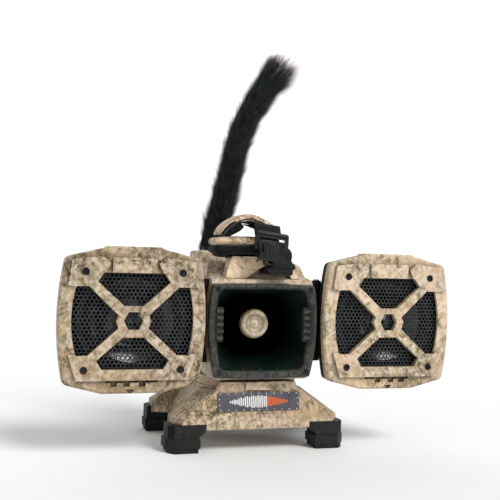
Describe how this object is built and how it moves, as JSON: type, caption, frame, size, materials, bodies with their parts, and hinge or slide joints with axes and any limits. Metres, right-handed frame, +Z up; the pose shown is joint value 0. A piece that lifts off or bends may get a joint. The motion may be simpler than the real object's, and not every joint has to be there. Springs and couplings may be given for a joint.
{
  "type": "electronic game caller",
  "caption": "Field game caller: square horn on a flared pedestal, fold-back speaker pods on side hinges, padded carry strap and a motor-driven furry decoy tail.",
  "frame": {"origin": "on the ground under the middle of the object's overall width and depth", "axes": "+Z up; -Y is the way the horn and the two pods face at rest; +X to the right when looking at the horn mouth"},
  "size_m": [0.4048, 0.1616, 0.4106],
  "materials": {
    "camo_shell": "matte camouflage film",
    "black_shell": "fine textured",
    "bezel_charcoal": "satin moulded",
    "horn_black": "satin moulded",
    "foot_rubber": "matte",
    "grille_steel": "semi-gloss black",
    "screw_black": "black oxide",
    "steel": "turned",
    "plate_grey": "printed plate",
    "cone_paper": "coated cone",
    "surround_rubber": "satin",
    "magnet": "ferrite",
    "basket_steel": "plated",
    "board_green": "solder mask",
    "cell_wrap": "printed sleeve",
    "gear_white": "acetal",
    "brass": "turned",
    "button_rubber": "satin",
    "strap_fabric": "camouflage woven, black lining",
    "webbing": "woven nylon",
    "buckle_black": "acetal",
    "tail_hair": "long pile"
  },
  "bodies": {
    "chassis": {"amplifier_board": "board_green", "aux_jack": "brass", "base_floor": "black_shell", "base_shell": "camo_shell", "battery_cells": "cell_wrap", "battery_door_pin": "steel", "battery_tray": "black_shell", "case_screws": "screw_black", "control_panel": "black_shell", "decoy_housing": "camo_shell", "decoy_motor": "steel", "driver_cap": "black_shell", "driver_diaphragm": "steel", "driver_magnet": "magnet", "foot_front_left": "foot_rubber", "foot_front_right": "foot_rubber", "foot_rear_left": "foot_rubber", "foot_rear_right": "foot_rubber", "front_housing": "camo_shell", "hinge_bracket_left": "black_shell", "hinge_bracket_right": "black_shell", "hinge_pins": "steel", "horn_bell": "horn_black", "horn_bezel": "bezel_charcoal", "horn_bezel_screws": "screw_black", "horn_reflector": "camo_shell", "name_plate": "plate_grey", "neck_collar": "camo_shell", "rear_housing": "camo_shell", "receiver_board": "board_green", "strap_lug": "camo_shell", "throat_tube": "horn_black"},
    "left_pod": {"pod_front_cover_left": "camo_shell", "pod_grille_left": "grille_steel", "pod_rear_shell_left": "black_shell", "pod_screws_left": "screw_black", "speaker_basket_left": "basket_steel", "speaker_surround_left": "surround_rubber", "speaker_magnet_left": "magnet"},
    "right_pod": {"pod_front_cover_right": "camo_shell", "pod_grille_right": "grille_steel", "pod_rear_shell_right": "black_shell", "pod_screws_right": "screw_black", "speaker_basket_right": "basket_steel", "speaker_surround_right": "surround_rubber", "speaker_magnet_right": "magnet"},
    "left_cone": {"speaker_cone_left": "cone_paper"},
    "right_cone": {"speaker_cone_right": "cone_paper"},
    "battery_door": {"battery_door": "camo_shell"},
    "power_button": {"power_button": "button_rubber"},
    "volume_rocker": {"volume_rocker": "button_rubber"},
    "motor_pinion": {"motor_pinion": "brass"},
    "tail": {"tail_gear": "gear_white", "tail_socket": "black_shell", "tail_fur": "tail_hair"},
    "strap": {"strap_pad": "strap_fabric", "strap_webbing": "webbing", "buckle_female": "buckle_black", "buckle_male": "buckle_black"}
  },
  "joints": [
    {"name": "left_pod_swing", "type": "hinge", "parent": "chassis", "child": "left_pod", "pos_m": [-0.066, -0.04095, 0.1295], "axis": [0, 0, -1], "range_deg": [0, 90]},
    {"name": "right_pod_swing", "type": "hinge", "parent": "chassis", "child": "right_pod", "pos_m": [0.066, -0.04095, 0.1295], "axis": [0, 0, 1], "range_deg": [0, 90]},
    {"name": "left_cone_travel", "type": "slide", "parent": "left_pod", "child": "left_cone", "axis": [0, -1, 0], "range_m": [-0.0012, 0.0012], "stiffness_N_per_m": 800},
    {"name": "right_cone_travel", "type": "slide", "parent": "right_pod", "child": "right_cone", "axis": [0, -1, 0], "range_m": [-0.0012, 0.0012], "stiffness_N_per_m": 800},
    {"name": "battery_door_swing", "type": "hinge", "parent": "chassis", "child": "battery_door", "pos_m": [0, 0.05345, 0.0246], "axis": [1, 0, 0], "range_deg": [0, 100]},
    {"name": "power_button_press", "type": "slide", "parent": "chassis", "child": "power_button", "axis": [0, -1, 0], "range_m": [0, 0.0015], "stiffness_N_per_m": 300},
    {"name": "volume_rocker_tilt", "type": "hinge", "parent": "chassis", "child": "volume_rocker", "pos_m": [0, 0.06405, 0.123], "axis": [1, 0, 0], "range_deg": [-5, 5]},
    {"name": "tail_spin", "type": "hinge", "parent": "chassis", "child": "tail", "pos_m": [-0.03, 0.02905, 0.18], "axis": [0, 0, 1], "continuous": true},
    {"name": "motor_pinion_spin", "type": "hinge", "parent": "chassis", "child": "motor_pinion", "pos_m": [-0.0164, 0.02905, 0.18], "axis": [0, 0, 1], "continuous": true},
    {"name": "strap_swing", "type": "hinge", "parent": "chassis", "child": "strap", "pos_m": [0, -0.04995, 0.1892], "axis": [1, 0, 0], "range_deg": [-8, 12]}
  ],
  "couplings": [
    {"joint": "motor_pinion_spin", "follows": "tail_spin", "ratio": -2.4}
  ]
}
